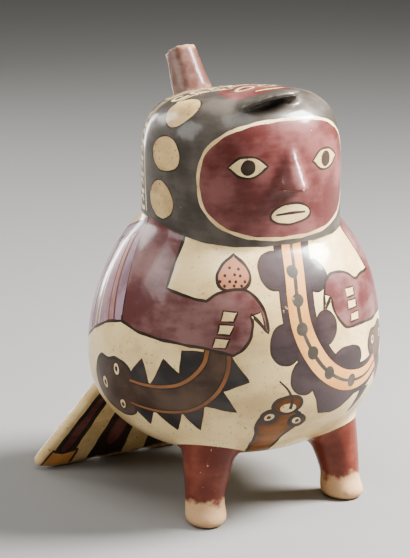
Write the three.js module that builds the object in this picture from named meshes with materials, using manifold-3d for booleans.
// Effigy vase: a hollow, hand-built pottery figure that is one fired piece.
// It has a round body, a hooded head, two stub legs, a leaning fan tail and a slanting
// spout behind the crown. Millimetres, +Z up. The face looks along -Y, and the origin is
// on the floor under the middle of the figure's outline.
import * as THREE from "three";
import { mergeVertices } from "three/addons/utils/BufferGeometryUtils.js";
import Module from "manifold-3d";

const wasm = await Module();
wasm.setup();

// The pot's wall, and how finely its round forms are faceted.
const WALL = 5;
const AROUND = 48;
const AROUND_INSIDE = 32;

// The body: a round belly on an upright axis at x = 0, y = 0.
const BODY_HALF_WIDTH = 88;
const BODY_DEPTH = 86;
const BELLY_BOTTOM = 29;
const BELT_HEIGHT = 89;
const SHOULDER_RISE = 108;
const SHOULDER_FULLNESS = 1.9;
const BELLY_FULLNESS = 2.22;

// The head, which stands a little forward of the body.
const NECK_HEIGHT = 172;
const NECK_HALF_WIDTH = 57;
const HEAD_HALF_WIDTH = 57;
const HEAD_DEPTH = 56;
const HEAD_FORWARD = 7;
const CHIN_DIP = 8;
const HEAD_WIDEST_HEIGHT = 198;
const CROWN_HEIGHT = 246;
const CROWN_FULLNESS = 3.6;
const CROWN_TILT = 4;
const HEAD_SQUARENESS = 2.25;

// The nose, pinched out of the face, with its base where the head is widest.
const NOSE_LENGTH = 24;
const NOSE_WIDTH = 21;
const NOSE_REACH = 13;
const NOSE_ROOT = 4;
const NOSE_TAPER = 0.6;
const NOSE_HOLLOW = 1.2;
const NOSE_AROUND = 20;

// The tab of the head cloth, which juts out over the forehead.
const TAB_HALF_WIDTH = 22;
const TAB_HALF_LENGTH = 24;
const TAB_THICKNESS = 5;
const TAB_HEIGHT = 248.5;
const TAB_REACH = -2;
const TAB_DROOP = 9;
const TAB_PITCH = THREE.MathUtils.degToRad(8);
const TAB_AROUND = 32;

// The legs.
const LEG_SPACING = 94;
const LEG_FORWARD = 46;
const LEG_TOP_RADIUS = 20;
const ANKLE_RADIUS = 11.6;
const FOOT_RADIUS = 12;
const ANKLE_HEIGHT = 14;
const LEG_RISE = 60;
const LEG_SWELL = 1.3;
const SOLE_ROUNDING = 3;
const TOE_LENGTH = 4;
const TOE_TURN = THREE.MathUtils.degToRad(12);
const LEG_AROUND = 24;

// The fan tail, a slab that leans from the back of the belly to the floor.
const TAIL_THICKNESS = 8;
const TAIL_ROOT_HEIGHT = 80;
const TAIL_ROOT_BACK = 46;
const TAIL_ROOT_HALF_WIDTH = 51;
const TAIL_END_BACK = 86;
const TAIL_END_HALF_WIDTH = 96;
const TAIL_CORNER_RADIUS = 9;
const TAIL_EDGE_ROUNDING = 3.5;
const TAIL_WEAR = 0.8;
const TAIL_FEATHERS = 5;
const FEATHER_BULGE = 3;

// The spout behind the crown.
const SPOUT_BACK = 42.5;
const SPOUT_ROOT_HEIGHT = 224;
const SPOUT_TILT = THREE.MathUtils.degToRad(32);
const SPOUT_LENGTH = 41;
const SPOUT_SINK = 12;
const SPOUT_ROOT_RADIUS = 14.5;
const SPOUT_MOUTH_RADIUS = 9.5;
const SPOUT_WALL = 2.6;
const SPOUT_FLARE = 1.5;
const SPOUT_AROUND = 24;

const smooth = (t) => t * t * (3 - 2 * t);

// A closed outline at one height, a superellipse with its own depth in front and behind.
function ring(z, halfWidth, depth, centreY, squareness, around) {
  const points = [];
  for (let i = 0; i < around; i++) {
    const a = (2 * Math.PI * i) / around;
    const c = Math.cos(a);
    const s = Math.sin(a);
    const x = halfWidth * Math.sign(c) * Math.abs(c) ** (2 / squareness);
    const y = depth * Math.sign(s) * Math.abs(s) ** (2 / squareness);
    points.push(new THREE.Vector3(x, centreY + y, z));
  }
  return points;
}

// A closed solid through rings that have as many points each, with its ends closed by fans.
function loft(rings, first, last) {
  const around = rings[0].length;
  const points = [...rings.flat(), first, last];
  const faces = [];
  for (let j = 0; j + 1 < rings.length; j++) {
    for (let i = 0; i < around; i++) {
      const a = j * around + i;
      const b = j * around + ((i + 1) % around);
      faces.push(a, b, b + around, a, b + around, a + around);
    }
  }
  const firstIndex = points.length - 2;
  const lastIndex = points.length - 1;
  const top = (rings.length - 1) * around;
  for (let i = 0; i < around; i++) {
    faces.push(firstIndex, (i + 1) % around, i);
    faces.push(lastIndex, top + i, top + ((i + 1) % around));
  }
  const geometry = new THREE.BufferGeometry().setFromPoints(points);
  geometry.setIndex(faces);
  return geometry;
}

// A geometry as a solid for joining and cutting.
function solid(geometry) {
  const bare = new THREE.BufferGeometry();
  bare.setAttribute("position", geometry.getAttribute("position"));
  bare.setIndex(geometry.index);
  const merged = mergeVertices(bare, 1e-4);
  const mesh = new wasm.Mesh({
    numProp: 3,
    vertProperties: new Float32Array(merged.attributes.position.array),
    triVerts: new Uint32Array(merged.index.array),
  });
  return new wasm.Manifold(mesh);
}

// How much lower the cloth's rim and all about it hangs under the chin than at the sides.
function chinDip(p) {
  const span = p.z < NECK_HEIGHT ? NECK_HEIGHT - BELT_HEIGHT : CROWN_HEIGHT - NECK_HEIGHT;
  const near = smooth(Math.max(0, 1 - Math.abs(p.z - NECK_HEIGHT) / span));
  const front = Math.max(0, -(p.y + HEAD_FORWARD) / Math.hypot(p.x, p.y + HEAD_FORWARD));
  return CHIN_DIP * near * smooth(front);
}

// How much the crown rises towards the brow, and as much falls towards the spout.
function crownTilt(p) {
  const lift = Math.max(0, p.z - HEAD_WIDEST_HEIGHT) / (CROWN_HEIGHT - HEAD_WIDEST_HEIGHT);
  return (-CROWN_TILT * smooth(Math.min(1, lift)) * (p.y + HEAD_FORWARD)) / HEAD_DEPTH;
}

// The body and head as one form, drawn in from the outside by inset all over.
function gourd(inset, around) {
  const rings = [];
  const halfWidth = BODY_HALF_WIDTH - inset;
  const depth = BODY_DEPTH - inset;
  const drop = BELT_HEIGHT - BELLY_BOTTOM - inset;
  const bellySteps = 9;
  for (let i = 1; i <= bellySteps; i++) {
    const t = (Math.PI / 2) * (i / bellySteps - 1);
    const share = Math.cos(t) ** (2 / BELLY_FULLNESS);
    const z = BELT_HEIGHT - drop * Math.abs(Math.sin(t)) ** (2 / BELLY_FULLNESS);
    rings.push(ring(z, halfWidth * share, depth * share, 0, 2, around));
  }
  const shoulderSteps = 7;
  const neckShare = (NECK_HALF_WIDTH - inset) / halfWidth;
  for (let i = 1; i <= shoulderSteps; i++) {
    const t = i / shoulderSteps;
    const z = BELT_HEIGHT + (NECK_HEIGHT - BELT_HEIGHT) * t;
    const lift = (z - BELT_HEIGHT) / SHOULDER_RISE;
    const bulge = (1 - lift ** SHOULDER_FULLNESS) ** (1 / SHOULDER_FULLNESS);
    const end = (NECK_HEIGHT - BELT_HEIGHT) / SHOULDER_RISE;
    const endBulge = (1 - end ** SHOULDER_FULLNESS) ** (1 / SHOULDER_FULLNESS);
    const share = 1 - ((1 - bulge) * (1 - neckShare)) / (1 - endBulge);
    const squareness = 2 + (HEAD_SQUARENESS - 2) * smooth(t);
    rings.push(ring(z, halfWidth * share, depth * share, -HEAD_FORWARD * smooth(t), squareness, around));
  }
  const cheekSteps = 3;
  for (let i = 1; i <= cheekSteps; i++) {
    const t = i / cheekSteps;
    const z = NECK_HEIGHT + (HEAD_WIDEST_HEIGHT - NECK_HEIGHT) * t;
    const width = NECK_HALF_WIDTH + (HEAD_HALF_WIDTH - NECK_HALF_WIDTH) * smooth(t) - inset;
    const deep = (width * (HEAD_DEPTH - inset)) / (HEAD_HALF_WIDTH - inset);
    rings.push(ring(z, width, deep, -HEAD_FORWARD, HEAD_SQUARENESS, around));
  }
  const crownSteps = 10;
  const crownRise = CROWN_HEIGHT - inset - HEAD_WIDEST_HEIGHT;
  for (let i = 1; i < crownSteps; i++) {
    const t = (Math.PI / 2) * (i / crownSteps);
    const share = Math.cos(t) ** (2 / CROWN_FULLNESS);
    const z = HEAD_WIDEST_HEIGHT + crownRise * Math.sin(t) ** (2 / CROWN_FULLNESS);
    const width = (HEAD_HALF_WIDTH - inset) * share;
    rings.push(ring(z, width, (HEAD_DEPTH - inset) * share, -HEAD_FORWARD, HEAD_SQUARENESS, around));
  }
  for (const points of rings) {
    for (const p of points) p.z += crownTilt(p) - chinDip(p);
  }
  const bottom = new THREE.Vector3(0, 0, BELLY_BOTTOM + inset);
  const top = new THREE.Vector3(0, -HEAD_FORWARD, CROWN_HEIGHT - inset);
  return solid(loft(rings, bottom, top));
}

// How far forward the face stands at one height, on the head's middle line. Above the crown
// that is the middle of the head.
function faceFront(z) {
  const lift = Math.max(0, z - HEAD_WIDEST_HEIGHT) / (CROWN_HEIGHT - HEAD_WIDEST_HEIGHT);
  const share = (1 - Math.min(1, lift ** CROWN_FULLNESS)) ** (1 / CROWN_FULLNESS);
  return -HEAD_FORWARD - HEAD_DEPTH * share;
}

// A stub leg with a small toe. It keeps its outer side plumb and thickens inwards to its top.
function leg(side) {
  const steps = 12;
  const solePad = FOOT_RADIUS - SOLE_ROUNDING;
  const rings = [ring(0, solePad, solePad + TOE_LENGTH / 2, -TOE_LENGTH / 2, 2, LEG_AROUND)];
  for (let i = 0; i < steps; i++) {
    const z = SOLE_ROUNDING + ((LEG_RISE - SOLE_ROUNDING) * i) / (steps - 1);
    const rise = smooth(Math.min(1, (z - SOLE_ROUNDING) / (ANKLE_HEIGHT - SOLE_ROUNDING)));
    const swell = (Math.max(0, z - ANKLE_HEIGHT) / (LEG_RISE - ANKLE_HEIGHT)) ** LEG_SWELL;
    const radius = FOOT_RADIUS + (ANKLE_RADIUS - FOOT_RADIUS) * rise + (LEG_TOP_RADIUS - ANKLE_RADIUS) * swell;
    const toe = (TOE_LENGTH / 2) * (1 - rise);
    const inward = Math.max(0, radius - ANKLE_RADIUS) * (1 - toe / TOE_LENGTH * 2);
    const points = ring(z, radius, radius + toe, inward - toe, 2, LEG_AROUND);
    for (const p of points) p.x -= side * inward;
    rings.push(points);
  }
  const inset = LEG_TOP_RADIUS - ANKLE_RADIUS;
  const sole = new THREE.Vector3(0, -TOE_LENGTH / 2, 0);
  const top = new THREE.Vector3(-side * inset, inset, LEG_RISE);
  const geometry = loft(rings, sole, top);
  geometry.rotateZ(side * TOE_TURN);
  geometry.translate((side * LEG_SPACING) / 2, -LEG_FORWARD, 0);
  return solid(geometry);
}

// The tail: a fan with rounded corners and edges, which leans back from the belly to the floor.
function tail() {
  const run = TAIL_END_BACK - TAIL_ROOT_BACK;
  const length = Math.hypot(run, TAIL_ROOT_HEIGHT);
  const lean = Math.atan2(run, TAIL_ROOT_HEIGHT);
  const root = TAIL_ROOT_HALF_WIDTH - TAIL_EDGE_ROUNDING;
  const end = TAIL_END_HALF_WIDTH - TAIL_EDGE_ROUNDING;
  const side = new THREE.Vector2(root - end, length).setLength(TAIL_CORNER_RADIUS);
  const outline = new THREE.Shape();
  outline.moveTo(-root, 0);
  outline.lineTo(-end - side.x, -length + side.y);
  outline.quadraticCurveTo(-end, -length, -end + TAIL_CORNER_RADIUS, -length);
  const tip = (2 * (end - TAIL_CORNER_RADIUS)) / TAIL_FEATHERS;
  for (let i = 0; i < TAIL_FEATHERS; i++) {
    const start = -end + TAIL_CORNER_RADIUS + i * tip;
    outline.quadraticCurveTo(start + tip / 2, -length - 2 * FEATHER_BULGE, start + tip, -length);
  }
  outline.quadraticCurveTo(end, -length, end + side.x, -length + side.y);
  outline.lineTo(root, 0);
  const geometry = new THREE.ExtrudeGeometry(outline, {
    depth: TAIL_THICKNESS - 2 * TAIL_EDGE_ROUNDING,
    bevelThickness: TAIL_EDGE_ROUNDING,
    bevelSize: TAIL_EDGE_ROUNDING,
    bevelSegments: 4,
    curveSegments: 6,
  });
  geometry.translate(0, 0, TAIL_EDGE_ROUNDING - TAIL_THICKNESS / 2);
  geometry.rotateX(Math.PI / 2 + lean);
  geometry.translate(0, TAIL_ROOT_BACK, TAIL_ROOT_HEIGHT);
  geometry.computeBoundingBox();
  geometry.translate(0, 0, -TAIL_WEAR - geometry.boundingBox.min.z);
  return solid(geometry);
}

// The spout, or with a wall taken off it its bore, about its own slanting axis.
function spout(wall, start, end) {
  const steps = 6;
  const rings = [];
  for (let i = 0; i <= steps; i++) {
    const along = start + ((end - start) * i) / steps;
    const share = THREE.MathUtils.clamp(along / SPOUT_LENGTH, 0, 1);
    const flare = (1 - share) ** SPOUT_FLARE;
    const radius = SPOUT_MOUTH_RADIUS + (SPOUT_ROOT_RADIUS - SPOUT_MOUTH_RADIUS) * flare - wall;
    rings.push(ring(along, radius, radius, 0, 2, SPOUT_AROUND));
  }
  const geometry = loft(rings, new THREE.Vector3(0, 0, start), new THREE.Vector3(0, 0, end));
  geometry.rotateX(-SPOUT_TILT);
  geometry.translate(0, SPOUT_BACK, SPOUT_ROOT_HEIGHT);
  return solid(geometry);
}

// The nose: a ridge that grows out of the face downwards and ends in a flat underside.
function nose() {
  const steps = 7;
  const rings = [];
  for (let i = 0; i <= steps; i++) {
    const up = i / steps;
    const z = HEAD_WIDEST_HEIGHT + NOSE_LENGTH * up;
    const half = (NOSE_WIDTH / 2) * (1 - NOSE_TAPER * up);
    const reach = NOSE_ROOT + NOSE_REACH * (1 - up) ** NOSE_HOLLOW;
    rings.push(ring(z, half, reach, faceFront(z) + NOSE_ROOT, 2, NOSE_AROUND));
  }
  const low = HEAD_WIDEST_HEIGHT;
  const high = low + NOSE_LENGTH;
  const under = new THREE.Vector3(0, faceFront(low) + NOSE_ROOT, low);
  const bridge = new THREE.Vector3(0, faceFront(high) + NOSE_ROOT, high);
  return solid(loft(rings, under, bridge));
}

// The tab of the head cloth: an oval peak on the crown that droops at its sides, and whose
// front edge overhangs the brow.
function tab() {
  const round = TAB_THICKNESS / 2;
  const rings = [];
  for (const share of [0.3, 0.6]) rings.push(tabRing(share, -round));
  const steps = 4;
  for (let i = 0; i <= steps; i++) {
    const a = Math.PI * (i / steps - 0.5);
    rings.push(tabRing(1 - (round * (1 - Math.cos(a))) / TAB_HALF_WIDTH, round * Math.sin(a)));
  }
  for (const share of [0.6, 0.3]) rings.push(tabRing(share, round));
  const geometry = loft(rings, new THREE.Vector3(0, 0, -round), new THREE.Vector3(0, 0, round));
  geometry.rotateX(-TAB_PITCH);
  geometry.translate(0, -HEAD_FORWARD - HEAD_DEPTH - TAB_REACH + TAB_HALF_LENGTH, TAB_HEIGHT);
  return solid(geometry);
}

// One outline of the tab, at a share of its full size, drooping away from its middle line.
function tabRing(share, z) {
  const points = ring(z, TAB_HALF_WIDTH * share, TAB_HALF_LENGTH * share, 0, 2, TAB_AROUND);
  for (const p of points) p.z -= TAB_DROOP * (p.x / TAB_HALF_WIDTH) ** 2;
  return points;
}

const floor = new THREE.BoxGeometry(4 * BODY_HALF_WIDTH, 4 * BODY_HALF_WIDTH, LEG_RISE);
floor.translate(0, 0, -LEG_RISE / 2);

const pot = gourd(0, AROUND)
  .add(leg(-1))
  .add(leg(1))
  .add(tail())
  .add(nose())
  .add(tab())
  .add(spout(0, -SPOUT_SINK, SPOUT_LENGTH))
  .subtract(gourd(WALL, AROUND_INSIDE))
  .subtract(spout(SPOUT_WALL, -SPOUT_SINK - WALL, SPOUT_LENGTH + SPOUT_WALL))
  .subtract(solid(floor));

// The joined solid as a mesh, set over the origin by the middle of its outline.
function vase() {
  const joined = pot.getMesh();
  const geometry = new THREE.BufferGeometry();
  geometry.setAttribute("position", new THREE.BufferAttribute(joined.vertProperties, 3));
  geometry.setIndex(new THREE.BufferAttribute(joined.triVerts, 1));
  geometry.computeBoundingBox();
  const { min, max } = geometry.boundingBox;
  const clay = new THREE.MeshStandardMaterial({ color: 0xcdbb98, roughness: 0.45, metalness: 0 });
  const mesh = new THREE.Mesh(geometry, clay);
  mesh.name = "effigy_vase";
  mesh.position.set(0, -(min.y + max.y) / 2, 0);
  return mesh;
}

const group = new THREE.Group();
group.add(vase());

export default group;
